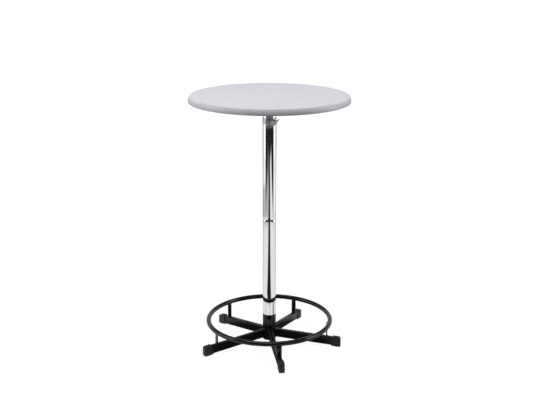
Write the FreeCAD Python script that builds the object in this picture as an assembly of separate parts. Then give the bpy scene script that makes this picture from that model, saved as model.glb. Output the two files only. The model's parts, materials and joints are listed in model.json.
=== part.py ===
import FreeCAD, Part
import math
import os

# Pub table: a round moulded top on a chromed column of two plug-in lengths, over a welded base of five
# sloping legs and a foot ring. The top slides in the column and is held at its height by a wing screw.
# Millimetres. The origin is on the floor, on the column's axis, with +Z up and -Y towards the viewer.

Vector = FreeCAD.Vector
ORIGIN = Vector(0, 0, 0)
UP = Vector(0, 0, 1)
OUTWARD = Vector(1, 0, 0)

# Fits
press_gap = 0.05      # round pieces pushed home for good
slide_gap = 0.05      # round pieces that slide or turn in each other
weld_root = 0.2       # root gap under a weld
clear_gap = 0.3       # pieces that pass without touching

# Column: two tubes of one section, butted at the coupling's flange
column_diameter = 60.0
column_wall = 1.5
lower_column_length = 452.0
upper_column_length = 429.0
nose_height = 10.0    # the butted ends are drawn in over this length
nose_land = 0.4       # flat ring left at a drawn-in end
coupling_flange = 2.0
coupling_engagement = 120.0
coupling_wall = 3.0
coupling_lead = 2.0   # chamfer that guides the upper tube on

# Base: hub tube, legs, caps, posts and ring
hub_wall = 4.0
hub_top = 144.0       # the column stands on the hub at this height
hub_skirt = 10.5      # how far the hub hangs below the legs
leg_names = ("front", "right", "rear_right", "rear_left", "left")
leg_turn = 9.6        # the front leg points this far to the right of -Y, in degrees
leg_height = 38.0
leg_width = 20.0
leg_wall = 1.5
leg_corner = 3.0
leg_rise = 28.8       # the lower edge climbs this much from the leg's end to the hub
foot_beyond_ring = 52.0  # the caps end this far outside the middle of the foot ring's tube
cap_length = 43.0     # along the sole
cap_slant = 8.0       # the cap's mouth leans outwards this much from the sole to the top
cap_wall = 2.4
cap_end_wall = 3.0
cap_sole = 2.4        # under the leg's end
cap_tread = 16.0      # flat of the sole at the cap's outer end
cap_heel = 4.0        # the sole rises this much from the flat to the cap's mouth
cap_nose = 9.0        # round at the cap's outer top corner
cap_round = 1.2
post_width = 20.0
post_thickness = 5.0
post_below_ring_centre = 1.0  # the posts end just under the middle of the ring's tube
post_corner = 4.0
post_cope = 1.0       # how deep the post is hollowed to seat the ring
ring_diameter = 556.0  # to the middle of the tube
ring_tube = 21.0
ring_wall = 1.5
ring_height = 115.0
ring_butt_gap = 0.4
ring_butt_turn = 117.0  # where the bent ring closes, in degrees from +X

# Bolted joint between hub and column
hub_plate_thickness = 6.0
plug_nose = 28.0      # reaches down into the hub
plug_body = 30.0      # fills the foot of the lower tube
bolt_diameter = 10.0
bolt_length = 48.0
bolt_head_across = 16.0
bolt_head_height = 6.4
bolt_hole_gap = 0.5
washer_diameter = 24.0
washer_thickness = 2.0

# Clamp head on the upper tube, with its wing screw
head_height = 25.0
head_spigot = 20.0
head_proud = 0.8      # the head stands out this far beyond the tube
head_round = 2.0
bush_wall = 1.4
bush_length = 90.0
boss_diameter = 18.0
boss_length = 10.0
boss_chamfer = 1.0
screw_turn = 34.0     # the screw points this far to the right of -Y, in degrees
screw_diameter = 8.0
pad_diameter = 9.8
pad_thickness = 3.0
pad_retreat = 2.5     # room behind the pad when the screw is slack
wing_gap = 3.0        # between the boss and the wings' hub with the screw tight
wing_hub_length = 11.0
wing_hub_base = 15.0
wing_hub_tip = 11.0
wing_width = 10.0
wing_thickness = 3.6
wing_span = 38.0
wing_sweep = 7.0      # the wings' tips stand this far beyond their roots
wing_tilt = 45.0

# Top: a moulded board whose rim hangs lower all round, on a cast spider and a stub tube
top_above_head = 98.0
top_diameter = 700.0
board_thickness = 18.0
rim_depth = 26.0
rim_width = 32.0
rim_tuck = 3.0        # round that carries the widest line in to the rim's underside
shoulder_radius = 2.0
brow_run = 6.5        # the rest of the way out from the shoulder to the widest line
spider_plate = 5.0
spider_reach = 152.0
spider_arm_width = 46.0
spider_arms = 4
spider_collar_wall = 5.0
spider_collar_height = 30.0
spider_rib = 6.0
spider_rib_reach = 112.0
spider_rib_tip = 4.0
stub_wall = 2.0
stub_insertion = 136.0  # below the clamp head
stub_chamfer = 1.0
screw_spread = 12.0     # the two screws of an arm stand this far from its middle
top_screw_diameter = 5.0
top_screw_length = 17.0
top_screw_head = 10.0
top_screw_head_height = 3.0
top_screw_hole_gap = 0.5

# Heights and radii that follow from the sizes above
column_outer = column_diameter / 2
column_inner = column_outer - column_wall
nose_depth = column_wall - nose_land
hub_outer = column_outer
hub_inner = hub_outer - hub_wall
ring_centre = ring_diameter / 2
foot_reach = ring_centre + foot_beyond_ring
cap_inner_end = foot_reach - cap_length
leg_end = foot_reach - cap_end_wall - weld_root
leg_low_at_hub = cap_sole + leg_rise
leg_slope = leg_rise / (leg_end - hub_outer)
leg_plumb = leg_height * math.hypot(1, leg_slope)
hub_bottom = leg_low_at_hub - hub_skirt
seam_low = hub_top + lower_column_length
seam_high = seam_low + coupling_flange
head_bottom = seam_high + upper_column_length
head_top = head_bottom + head_height
table_height = head_top + top_above_head
board_under = table_height - board_thickness
spider_under = board_under - spider_plate
stub_outer = column_inner - press_gap - bush_wall - slide_gap
stub_bottom = head_bottom - stub_insertion
head_outer = column_outer + head_proud
screw_height = head_bottom + head_height / 2
pad_face = stub_outer + clear_gap
pad_back = pad_face + pad_thickness
boss_face = column_outer + boss_length
hub_plate_top = hub_top - plug_nose
screw_circle = spider_reach - spider_arm_width / 2
leg_angles = [leg_turn + 360 / len(leg_names) * k for k in range(len(leg_names))]


def straight(start, end):
    """Edge between two (radius, height) points of the XZ plane."""
    return Part.LineSegment(Vector(start[0], 0, start[1]), Vector(end[0], 0, end[1])).toShape()


def arc(centre, radius, start, end):
    """Arc in the XZ plane about a (radius, height) point, in degrees from +X towards +Z."""
    points = []
    for angle in (start, (start + end) / 2, end):
        turn = math.radians(angle)
        points.append(Vector(centre[0] + radius * math.cos(turn), 0, centre[1] + radius * math.sin(turn)))
    return Part.Arc(*points).toShape()


def polygon(points):
    """Face in the XZ plane through (x, z) corners."""
    corners = [Vector(x, 0, z) for x, z in points]
    return Part.Face(Part.makePolygon(corners + corners[:1]))


def revolved(edges):
    """Solid of revolution about the column's axis, from edges in order round the outline."""
    return Part.Face(Part.Wire(edges)).revolve(ORIGIN, UP, 360)


def turned(points):
    """Solid of revolution of a straight-sided (radius, height) outline."""
    return polygon(points).revolve(ORIGIN, UP, 360)


def tube(outer, inner, low, high):
    """Plain upright tube on the column's axis."""
    return turned([(inner, low), (outer, low), (outer, high), (inner, high)])


def disc(radius, low, high):
    """Plain upright cylinder on the column's axis."""
    return Part.makeCylinder(radius, high - low, Vector(0, 0, low), UP)


def slab(face, width):
    """Thick plate from a face in the XZ plane, centred on that plane."""
    plate = face.extrude(Vector(0, width, 0))
    plate.translate(Vector(0, -width / 2, 0))
    return plate


def aimed(shape, angle):
    """Turns a piece drawn along +X so that it points at an angle to the right of -Y."""
    return shape.rotated(ORIGIN, UP, angle - 90)


def rod(diameter, start, end):
    """Round bar along +X between two distances from the column's axis."""
    return Part.makeCylinder(diameter / 2, end - start, Vector(start, 0, 0), OUTWARD)


def at_screw(shape):
    """Lifts a piece drawn along +X to the wing screw's height and aims it along the screw."""
    return aimed(shape.translated(Vector(0, 0, screw_height)), screw_turn)


def edges_along(shape, direction, least):
    """Straight edges of at least a given length that run along a direction."""
    found = []
    for edge in shape.Edges:
        if isinstance(edge.Curve, Part.Line) and edge.Length >= least:
            if abs(edge.tangentAt(edge.FirstParameter).dot(direction)) > 0.999:
                found.append(edge)
    return found


def column_tube(plain_end, nosed_end):
    """Column tube between two heights; at the second the outside is drawn in to a shallow nose."""
    inward = math.copysign(1, plain_end - nosed_end)
    radius = (nose_depth ** 2 + nose_height ** 2) / (2 * nose_depth)
    sweep = math.degrees(math.asin(nose_height / radius))
    shoulder = nosed_end + inward * nose_height
    return revolved([
        straight((column_inner, plain_end), (column_outer, plain_end)),
        straight((column_outer, plain_end), (column_outer, shoulder)),
        arc((column_outer - radius, shoulder), radius, 0, -inward * sweep),
        straight((column_outer - nose_depth, nosed_end), (column_inner, nosed_end)),
        straight((column_inner, nosed_end), (column_inner, plain_end)),
    ])


def coupling_spigot():
    """Sleeve that stays in the lower tube; its flange parts the two tubes and carries the upper one."""
    sleeve = column_inner - slide_gap
    bore = sleeve - coupling_wall
    flange = column_outer - nose_depth
    low = seam_low - coupling_engagement
    high = seam_high + coupling_engagement
    return turned([
        (bore, low), (sleeve - coupling_lead, low), (sleeve, low + coupling_lead),
        (sleeve, seam_low), (flange, seam_low), (flange, seam_high), (sleeve, seam_high),
        (sleeve, high - coupling_lead), (sleeve - coupling_lead, high), (bore, high),
    ])


def leg_low(radius):
    """Height of a leg's lower edge at a distance from the column's axis."""
    return leg_low_at_hub - leg_slope * (radius - hub_outer)


def leg_side(start, end, shrink):
    """Side view of a leg between two radii with plumb ends, drawn in by shrink above and below."""
    drawn_in = shrink * math.hypot(1, leg_slope)
    low = [leg_low(r) + drawn_in for r in (start, end)]
    high = [leg_low(r) + leg_plumb - drawn_in for r in (end, start)]
    return polygon([(start, low[0]), (end, low[1]), (end, high[0]), (start, high[1])])


def leg_bar(start, end, shrink):
    """Bar of the leg's section, with rounded corners, made smaller all round by shrink."""
    bar = slab(leg_side(start, end, shrink), leg_width - 2 * shrink)
    along = Vector(1, 0, -leg_slope).normalize()
    corner = max(leg_corner - shrink, leg_wall / 2)
    return bar.makeFillet(corner, edges_along(bar, along, (end - start) / 2))


def leg():
    """Rectangular tube that slopes down from the hub, coped to the hub's round."""
    outside = leg_bar(hub_inner, leg_end, 0)
    inside = leg_bar(0, foot_reach, leg_wall)
    cope = disc(hub_outer + weld_root, 0, hub_top)
    return outside.cut(inside).cut(cope)


def foot_cap():
    """Moulded cap over a leg's end: a sole that rises behind its flat, a sloping top and a rounded nose."""
    lift = leg_plumb + cap_wall + press_gap
    width = leg_width + 2 * (cap_wall + press_gap)
    mouth_top = cap_inner_end + cap_slant
    top_in = leg_low(mouth_top) + lift
    top_out = leg_low(foot_reach) + lift
    shell = slab(polygon([
        (cap_inner_end, cap_heel), (foot_reach - cap_tread, 0), (foot_reach, 0), (foot_reach, top_out),
        (mouth_top, top_in),
    ]), width)
    across = edges_along(shell, Vector(0, 1, 0), width / 2)
    nose = max(across, key=lambda edge: edge.CenterOfMass.x + edge.CenterOfMass.z)
    shell = shell.makeFillet(cap_nose, [nose])
    sides = [edge for edge in shell.Edges if abs(edge.CenterOfMass.y) > width / 2 - cap_round]
    upper = [edge for edge in sides if edge.BoundBox.ZMax > cap_nose]
    outer = [edge for edge in upper if edge.BoundBox.XMax > mouth_top + cap_round]
    shell = shell.makeFillet(cap_round, outer)
    socket = leg_bar(cap_inner_end - cap_length, leg_end + press_gap, -press_gap)
    return shell.cut(socket)


def ring_post():
    """Flat bar that stands on a leg and is hollowed on its outer face to seat the foot ring."""
    outer_face = ring_centre - ring_tube / 2 + post_cope
    inner_face = outer_face - post_thickness
    top = ring_height - post_below_ring_centre
    bar = slab(polygon([
        (inner_face, leg_low(inner_face) + leg_plumb), (outer_face, leg_low(outer_face) + leg_plumb),
        (outer_face, top), (inner_face, top),
    ]), post_width)
    level = edges_along(bar, Vector(1, 0, 0), post_thickness / 2)
    bar = bar.makeFillet(post_corner, [edge for edge in level if edge.CenterOfMass.z > top - post_corner])
    seat = Part.makeTorus(ring_centre, ring_tube / 2 + weld_root, Vector(0, 0, ring_height), UP)
    return bar.cut(seat)


def foot_ring():
    """Tube bent into a ring, butted where its ends meet."""
    centre = Vector(ring_centre, 0, ring_height)
    across = Vector(0, 1, 0)
    outside = Part.Face(Part.Wire(Part.makeCircle(ring_tube / 2, centre, across)))
    inside = Part.Face(Part.Wire(Part.makeCircle(ring_tube / 2 - ring_wall, centre, across)))
    section = outside.cut(inside)
    open_angle = math.degrees(ring_butt_gap / ring_centre)
    ring = section.revolve(ORIGIN, UP, 360 - open_angle)
    return ring.rotated(ORIGIN, UP, ring_butt_turn)


def hub_plate():
    """Disc welded inside the hub, drilled for the base bolt."""
    plate = disc(hub_inner - press_gap, hub_plate_top - hub_plate_thickness, hub_plate_top)
    return plate.cut(disc(bolt_diameter / 2 + bolt_hole_gap, 0, hub_top))


def column_plug():
    """Turned plug in the foot of the lower tube; its nose centres in the hub and takes the bolt."""
    nose = hub_inner - slide_gap
    body = column_inner - press_gap
    bore = bolt_diameter / 2 + press_gap
    return turned([
        (bore, hub_plate_top), (nose, hub_plate_top), (nose, hub_top), (body, hub_top),
        (body, hub_top + plug_body), (bore, hub_top + plug_body),
    ])


def base_bolt():
    """Hexagon bolt that pulls the column down on the hub from below."""
    seat = hub_plate_top - hub_plate_thickness - washer_thickness
    corner_radius = bolt_head_across / math.sqrt(3)
    low = Vector(0, 0, seat - bolt_head_height)
    corners = []
    for k in range(7):
        turn = FreeCAD.Rotation(UP, 60 * k)
        corners.append(low + turn.multVec(Vector(corner_radius, 0, 0)))
    head = Part.Face(Part.makePolygon(corners)).extrude(Vector(0, 0, bolt_head_height))
    return head.fuse(disc(bolt_diameter / 2, seat, seat + bolt_length)).removeSplitter()


def base_washer():
    """Plain washer under the bolt's head."""
    high = hub_plate_top - hub_plate_thickness
    return tube(washer_diameter / 2, bolt_diameter / 2 + bolt_hole_gap, high - washer_thickness, high)


def clamp_head():
    """Die-cast collar on the upper tube, with a spigot inside the tube and a tapped boss for the screw."""
    bore = stub_outer + clear_gap
    spigot = column_inner - press_gap
    collar = revolved([
        straight((bore, head_bottom - head_spigot), (spigot, head_bottom - head_spigot)),
        straight((spigot, head_bottom - head_spigot), (spigot, head_bottom)),
        straight((spigot, head_bottom), (column_outer, head_bottom)),
        arc((column_outer, head_bottom + head_proud), head_proud, -90, 0),
        straight((head_outer, head_bottom + head_proud), (head_outer, head_top - head_round)),
        arc((head_outer - head_round, head_top - head_round), head_round, 0, 90),
        straight((head_outer - head_round, head_top), (bore, head_top)),
        straight((bore, head_top), (bore, head_bottom - head_spigot)),
    ])
    boss = rod(boss_diameter, bore, boss_face)
    rim = [edge for edge in boss.Edges if edge.CenterOfMass.x > boss_face - boss_chamfer]
    boss = boss.makeChamfer(boss_chamfer, rim)
    thread = rod(screw_diameter + 2 * slide_gap, 0, boss_face)
    pocket = rod(pad_diameter + 2 * slide_gap, 0, pad_back + pad_retreat)
    through = disc(bore, head_bottom - head_spigot, head_top)
    return collar.fuse(at_screw(boss)).cut(through).cut(at_screw(thread.fuse(pocket))).removeSplitter()


def guide_bush():
    """Plastic sleeve pressed into the upper tube below the head, in which the stub tube slides."""
    high = head_bottom - head_spigot
    return tube(column_inner - press_gap, stub_outer + slide_gap, high - bush_length, high)


def thrust_pad():
    """Small round pad that the screw presses on the stub tube."""
    return at_screw(rod(pad_diameter, pad_face, pad_back))


def wing_screw():
    """Screw with a tapered hub and two swept wings, drawn along +X and turned to its place."""
    hub_start = boss_face + wing_gap
    hub_end = hub_start + wing_hub_length
    base = Vector(hub_start, 0, 0)
    hub = Part.makeCone(wing_hub_base / 2, wing_hub_tip / 2, wing_hub_length, base, OUTWARD)
    screw = rod(screw_diameter, pad_back, hub_start).fuse(hub)
    root = Vector((hub_start + hub_end) / 2, 0, 0)
    tip = root + Vector(wing_sweep, 0, wing_span / 2 - wing_width / 2)
    along = (tip - root).normalize()
    side = Vector(-along.z, 0, along.x) * (wing_width / 2)
    corners = [root + side, tip + side, tip - side, root - side]
    blade = slab(Part.Face(Part.makePolygon(corners + corners[:1])), wing_thickness)
    half = Vector(0, wing_thickness / 2, 0)
    wing = blade.fuse(Part.makeCylinder(wing_width / 2, wing_thickness, tip - half, Vector(0, 1, 0)))
    both = wing.fuse(wing.rotated(ORIGIN, OUTWARD, 180))
    screw = screw.fuse(both).removeSplitter()
    return at_screw(screw.rotated(ORIGIN, OUTWARD, -wing_tilt))


def stub_tube():
    """Tube under the top that slides in the column, chamfered where it enters."""
    inner = stub_outer - stub_wall
    return turned([
        (inner, stub_bottom), (stub_outer - stub_chamfer, stub_bottom),
        (stub_outer, stub_bottom + stub_chamfer), (stub_outer, spider_under), (inner, spider_under),
    ])


def screw_places():
    """Places of the screws that hold the top, two near the end of each spider arm."""
    places = []
    for k in range(spider_arms):
        turn = FreeCAD.Rotation(UP, 360 / spider_arms * k)
        for side in (-screw_spread, screw_spread):
            places.append(turn.multVec(Vector(screw_circle, side, 0)))
    return places


def top_spider():
    """Cast spider: flat arms under the top, ribs that taper to the arms' ends and a collar for the stub."""
    collar_inner = stub_outer + weld_root
    collar_outer = collar_inner + spider_collar_wall
    collar_low = spider_under - spider_collar_height
    spider = tube(collar_outer, collar_inner, collar_low, spider_under)
    spider = spider.fuse(disc(collar_outer, spider_under, board_under))
    rib_root = (collar_inner + collar_outer) / 2
    rib = slab(polygon([
        (rib_root, collar_low), (collar_outer, collar_low),
        (spider_rib_reach, spider_under - spider_rib_tip), (spider_rib_reach, spider_under),
        (rib_root, spider_under),
    ]), spider_rib)
    edge = Vector(0, -spider_arm_width / 2, spider_under)
    arm = Part.makeBox(screw_circle, spider_arm_width, spider_plate, edge)
    end = Part.makeCylinder(spider_arm_width / 2, spider_plate, Vector(screw_circle, 0, spider_under), UP)
    limb = arm.fuse([end, rib])
    for k in range(spider_arms):
        spider = spider.fuse(limb.rotated(ORIGIN, UP, 360 / spider_arms * k))
    hole_radius = top_screw_diameter / 2 + top_screw_hole_gap
    for place in screw_places():
        seat = place + Vector(0, 0, spider_under)
        spider = spider.cut(Part.makeCylinder(hole_radius, spider_plate, seat, UP))
    return spider.removeSplitter()


def top_screws():
    """Pan-head screws, driven from below through the spider into the top."""
    screws = []
    for place in screw_places():
        seat = place + Vector(0, 0, spider_under)
        head = Part.makeCylinder(top_screw_head / 2, top_screw_head_height, seat, -UP)
        lower_rim = [edge for edge in head.Edges if edge.BoundBox.ZMax < seat.z - top_screw_head_height / 2]
        head = head.makeFillet(top_screw_head_height / 2, lower_rim)
        shank = Part.makeCylinder(top_screw_diameter / 2, top_screw_length, seat, UP)
        screws.append(head.fuse(shank).removeSplitter())
    return Part.makeCompound(screws)


def table_top():
    """Moulded board: flat above, with a rim that rounds over, swells to the widest line and tucks under."""
    outer = top_diameter / 2
    lowest = table_height - rim_depth
    widest = lowest + rim_tuck
    shoulder = (outer - shoulder_radius - brow_run, table_height - shoulder_radius)
    rise = shoulder[1] - widest
    inset = outer - shoulder[0]
    # the brow is the one round that touches the shoulder from outside and stands plumb at the widest line
    brow_radius = (inset ** 2 + rise ** 2 - shoulder_radius ** 2) / (2 * brow_run)
    brow = (outer - brow_radius, widest)
    meet = math.degrees(math.atan2(rise, shoulder[0] - brow[0]))
    rim_inner = outer - rim_width
    cove = rim_depth - board_thickness
    board = revolved([
        straight((0, board_under), (0, table_height)),
        straight((0, table_height), (shoulder[0], table_height)),
        arc(shoulder, shoulder_radius, 90, meet),
        arc(brow, brow_radius, meet, 0),
        arc((outer - rim_tuck, widest), rim_tuck, 0, -90),
        straight((outer - rim_tuck, lowest), (rim_inner, lowest)),
        arc((rim_inner - cove, lowest), cove, 0, 90),
        straight((rim_inner - cove, board_under), (0, board_under)),
    ])
    depth = spider_under + top_screw_length - board_under
    pilot_radius = top_screw_diameter / 2 + press_gap
    for place in screw_places():
        board = board.cut(Part.makeCylinder(pilot_radius, depth, place + Vector(0, 0, board_under), UP))
    return board


def build():
    """Every piece of the table, by name."""
    pieces = {
        "table_top": table_top(),
        "top_spider": top_spider(),
        "top_screws": top_screws(),
        "stub_tube": stub_tube(),
        "wing_screw": wing_screw(),
        "thrust_pad": thrust_pad(),
        "clamp_head": clamp_head(),
        "guide_bush": guide_bush(),
        "upper_column_tube": column_tube(head_bottom, seam_high),
        "coupling_spigot": coupling_spigot(),
        "lower_column_tube": column_tube(hub_top, seam_low),
        "column_plug": column_plug(),
        "base_bolt": base_bolt(),
        "base_washer": base_washer(),
        "hub_plate": hub_plate(),
        "hub_tube": tube(hub_outer, hub_inner, hub_bottom, hub_top),
        "foot_ring": foot_ring(),
    }
    for name, angle in zip(leg_names, leg_angles):
        pieces["leg_" + name] = aimed(leg(), angle)
        pieces["foot_cap_" + name] = aimed(foot_cap(), angle)
        pieces["ring_post_" + name] = aimed(ring_post(), angle)
    return pieces


os.makedirs("parts", exist_ok=True)
for node, shape in build().items():
    shape.exportStep("parts/" + node + ".step")
    print(f"{node}: {len(shape.Solids)} solid, {shape.Volume / 1000:.1f} cm3, valid {shape.isValid()}")
print(f"seam {seam_low:.1f}, clamp head {head_bottom:.1f} to {head_top:.1f}, table {table_height:.1f} high")
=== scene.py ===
# %% [markdown]
# This lesson dresses a tall pub table: a round moulded top on a chromed column, over a black base with a
# foot ring. The CAD model comes in first, as a fixed frame in metres. It could be given finishes and left at
# that, but its meshes are flat triangles, and a mirror finish shows every facet. So most pieces are modelled
# again here, finer, at the place and size that the frame gives, and each rides on the body that carries it.

# %% Load the frame
import bmesh
import bpy
import json
import math
from mathutils import Matrix, Vector


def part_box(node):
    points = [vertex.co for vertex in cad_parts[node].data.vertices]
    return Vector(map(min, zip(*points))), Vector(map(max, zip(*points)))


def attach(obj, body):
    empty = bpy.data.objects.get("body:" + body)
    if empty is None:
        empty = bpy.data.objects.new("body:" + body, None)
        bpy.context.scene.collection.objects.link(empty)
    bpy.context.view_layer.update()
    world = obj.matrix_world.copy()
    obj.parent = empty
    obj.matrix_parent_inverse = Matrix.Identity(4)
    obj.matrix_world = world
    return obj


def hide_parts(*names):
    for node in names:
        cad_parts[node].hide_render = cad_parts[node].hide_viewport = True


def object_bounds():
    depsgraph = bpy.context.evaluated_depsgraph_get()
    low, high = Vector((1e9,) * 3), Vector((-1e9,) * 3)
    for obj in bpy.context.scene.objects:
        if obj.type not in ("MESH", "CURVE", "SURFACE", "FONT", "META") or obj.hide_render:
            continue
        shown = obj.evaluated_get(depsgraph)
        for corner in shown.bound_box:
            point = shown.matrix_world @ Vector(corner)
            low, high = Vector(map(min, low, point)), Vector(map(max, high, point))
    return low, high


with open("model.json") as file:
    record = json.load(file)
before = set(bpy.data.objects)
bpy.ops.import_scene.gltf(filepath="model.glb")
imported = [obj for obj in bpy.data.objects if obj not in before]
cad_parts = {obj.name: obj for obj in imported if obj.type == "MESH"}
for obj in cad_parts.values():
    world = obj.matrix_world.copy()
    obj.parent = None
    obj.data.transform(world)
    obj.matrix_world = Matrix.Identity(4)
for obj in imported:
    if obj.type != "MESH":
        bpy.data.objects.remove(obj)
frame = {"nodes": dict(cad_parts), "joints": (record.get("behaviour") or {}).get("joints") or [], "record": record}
cad_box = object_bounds()
mm = 0.001
scene = bpy.context.scene
scene.view_settings.view_transform = "Standard"
print("nodes", len(frame["nodes"]), "box", [round(side, 3) for corner in cad_box for side in corner])

# %% [markdown]
# The camera stands where the photographer's did. Its place, tilt and focal length were fitted to the outlines
# of the top, the foot ring and the legs. A camera looks along its own -Z, so it is tipped up to the horizon,
# then down by the pitch. The yaw and the roll are small, but they keep the column where the picture has it.

# %% Camera
photo_width = 553
focal_length_in_pixels = 931.7
sensor_width = 36.0
camera_place = Vector((0, -3.9703, 1.8102))
camera_pitch = math.radians(16.291)
camera_yaw = math.radians(0.452)
camera_roll = math.radians(0.204)

lens = bpy.data.cameras.new("camera")
lens.sensor_width = sensor_width
lens.lens = focal_length_in_pixels / photo_width * sensor_width
camera = bpy.data.objects.new("camera", lens)
scene.collection.objects.link(camera)
camera.matrix_world = (
    Matrix.Translation(camera_place)
    @ Matrix.Rotation(-camera_yaw, 4, "Z")
    @ Matrix.Rotation(math.pi / 2 - camera_pitch, 4, "X")
    @ Matrix.Rotation(camera_roll, 4, "Z")
)
scene.camera = camera
print("lens", round(lens.lens, 2), "mm")

# %% [markdown]
# Node trees are easier to read with a few helpers: one for arithmetic, one that fades between two limits.
# A helper takes numbers or other nodes' sockets, and sets or links its inputs to suit. A socket knows its own
# tree, so the tree needn't be named.


# %% Helpers for node trees
def feed(socket, value):
    """Sets a socket to a number or colour, or links it to another socket."""
    if isinstance(value, bpy.types.NodeSocket):
        socket.id_data.links.new(value, socket)
    else:
        socket.default_value = value


def beside(known, kind):
    """New node in the tree of a known socket or node."""
    return known.id_data.nodes.new(kind)


def maths(operation, first, *others):
    """Arithmetic on a value and others in turn, or on a value alone."""
    for other in others or (0.0,):
        node = beside(first, "ShaderNodeMath")
        node.operation = operation
        feed(node.inputs[0], first)
        feed(node.inputs[1], other)
        first = node.outputs[0]
    return first


def fade(value, start, end, low=0.0, high=1.0):
    """Goes smoothly from low to high while a value goes from start to end."""
    node = beside(value, "ShaderNodeMapRange")
    node.interpolation_type = "SMOOTHSTEP"
    limits = {"Value": value, "From Min": start, "From Max": end, "To Min": low, "To Max": high}
    for name, limit in limits.items():
        feed(node.inputs[name], limit)
    return node.outputs["Result"]


def soft_step(value, place, blur, low=0.0, high=1.0):
    """Goes from low to high where a value passes a place, or back where the blur is negative."""
    return fade(value, place - blur, place + blur, low, high)


def blended(amount, first, second):
    """Colour between two colours."""
    node = beside(amount, "ShaderNodeMix")
    node.data_type = "RGBA"
    feed(node.inputs["Factor"], amount)
    feed(node.inputs[6], first)
    feed(node.inputs[7], second)
    return node.outputs[2]


def mixed(amount, first, second):
    """Shader between two shaders."""
    node = beside(amount, "ShaderNodeMixShader")
    for socket, value in zip(node.inputs, (amount, first, second)):
        feed(socket, value)
    return node.outputs[0]


def coloured(tree, kind, colour):
    """Emission, background or diffuse shader of one colour."""
    node = tree.nodes.new(kind)
    feed(node.inputs["Color"], colour)
    return node.outputs[0]


def coordinates(tree, kind, output):
    """The three parts of a place or a direction that a kind of node gives."""
    parts = tree.nodes.new("ShaderNodeSeparateXYZ")
    feed(parts.inputs[0], tree.nodes.new(kind).outputs[output])
    return parts.outputs[:]


# %% [markdown]
# Chrome has no colour of its own: it shows the studio. The table stands between two white side walls, which
# are greyer behind it, and the studio is open to the front and to the rear. The walls and the open ends are
# told apart by the bearing from the table: the distance across, divided by the distance along.

# %% Walls and open ends of the studio
wall_white = (1.0, 1.0, 1.0, 1)
rear_wall = (0.74, 0.74, 0.75, 1)
rear_wall_fade = (0.0, 0.7)
front_sector, rear_sector = (-2.8, 3.2), (-0.85, 0.8)
sector_blur = 0.15
turn_to_rear = 0.01


def walls(back):
    """White side walls, greyer behind the table."""
    return blended(fade(back, *rear_wall_fade), wall_white, rear_wall)


def dark_sector(across, along, back):
    """1 towards the open ends of the studio, 0 towards its side walls."""
    bearing = maths("DIVIDE", across, along)
    inside = []
    for front, rear, blur in zip(front_sector, rear_sector, (sector_blur, -sector_blur)):
        limit = soft_step(back, 0, turn_to_rear, front, rear)
        inside.append(soft_step(maths("SUBTRACT", bearing, limit), 0, blur))
    return maths("MULTIPLY", *inside)


print("bearings of the open ends", front_sector, rear_sector)

# %% [markdown]
# The long black and white stripes down the column come from the studio's floor. The table stands on a white
# sheet. Beyond it the floor is dark, then grey. A dark runner leads away from the table and widens. Painted
# on the floor are the table's own shade under the base, a shadow spot on the right and shade on the sheet's
# far left. Each of these is a value from 0 to 1 by the place on the floor, in metres, and the greatest
# counts. A pair of limits says where a value starts and ends.

# %% What darkens the studio's floor
sheet_end, sheet_end_blur = 3.6, 0.3
sheet_side = (1.5, 2.25)
# Painted shade that darkens the sheet's far left, more so away from the table
far_left_shade_along, far_left_shade_across, far_left_shade_depth = (1.2, 3.4), (-0.3, -1.0), 0.9
runner_start, runner_start_blur = 0.52, 0.04
runner_length, runner_half_widths = 6.0, (0.31, 0.9)
runner_middle, runner_edge_blur = -0.06, 0.05
# Painted shade on the floor as mirrors see it: the table's shadow under the base, and a shadow spot on the right
base_shade, base_shade_depth = (0.34, 0.24), 0.93
shadow_spot_middle, shadow_spot_radii, shadow_spot_depth = (0.42, -0.13), (0.16, 0.08), 0.65
left_start, left_end = (1.75, 2.1), (2.95, 2.65)
left_across, left_depth = (-0.3, -0.8), 0.45


def distance(across, along):
    """Distance from the column's axis over the floor."""
    flat = beside(across, "ShaderNodeCombineXYZ")
    feed(flat.inputs["X"], across)
    feed(flat.inputs["Y"], along)
    length = beside(across, "ShaderNodeVectorMath")
    length.operation = "LENGTH"
    feed(length.inputs[0], flat.outputs["Vector"])
    return length.outputs["Value"]


def runner(across, along):
    """1 on the dark runner, which starts at the foot ring and widens as it goes."""
    half_width = fade(along, 0.0, runner_length, *runner_half_widths)
    half_width.node.interpolation_type = "LINEAR"
    off_middle = maths("ABSOLUTE", maths("SUBTRACT", across, runner_middle))
    on_it = soft_step(maths("SUBTRACT", off_middle, half_width), 0, -runner_edge_blur)
    return maths("MULTIPLY", on_it, soft_step(along, runner_start, runner_start_blur))


def off_sheet(across, along):
    """1 beyond the white sheet's ends and sides, and in the painted shade that darkens its far left."""
    past_end = soft_step(along, sheet_end, sheet_end_blur)
    past_side = fade(maths("ABSOLUTE", across), *sheet_side)
    # Painted shade on the sheet's far left
    shade = maths("MULTIPLY", fade(along, *far_left_shade_along),
                  fade(across, *far_left_shade_across, 0.0, far_left_shade_depth))
    return maths("MAXIMUM", past_end, past_side, shade)


def shades(across, back, reach):
    """Painted shade under the base, a painted shadow spot on the right and a band on the left."""
    under = fade(reach, *base_shade, 0.0, base_shade_depth)
    off_spot = [maths("SUBTRACT", way, middle) for way, middle in zip((across, back), shadow_spot_middle)]
    spot = fade(distance(*off_spot), *shadow_spot_radii, 0.0, shadow_spot_depth)
    left = maths("MULTIPLY", fade(reach, *left_start), fade(reach, *left_end),
                 fade(across, *left_across, 0.0, left_depth))
    return maths("MAXIMUM", under, spot, left)


print("dark runner", runner_length, "m long, from", runner_start, "m")

# %% [markdown]
# The floor is one large sheet. A shadow catcher in the compositor could give the white ground, but a material
# does it as well: the camera sees a bright glow plus a little real shading, so the table's soft shadow stays.
# The glow grows away from the table, where the lamp reaches less. Light that bounces sees a grey floor, and
# mirrors see the studio's, through Is Glossy Ray.

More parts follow.
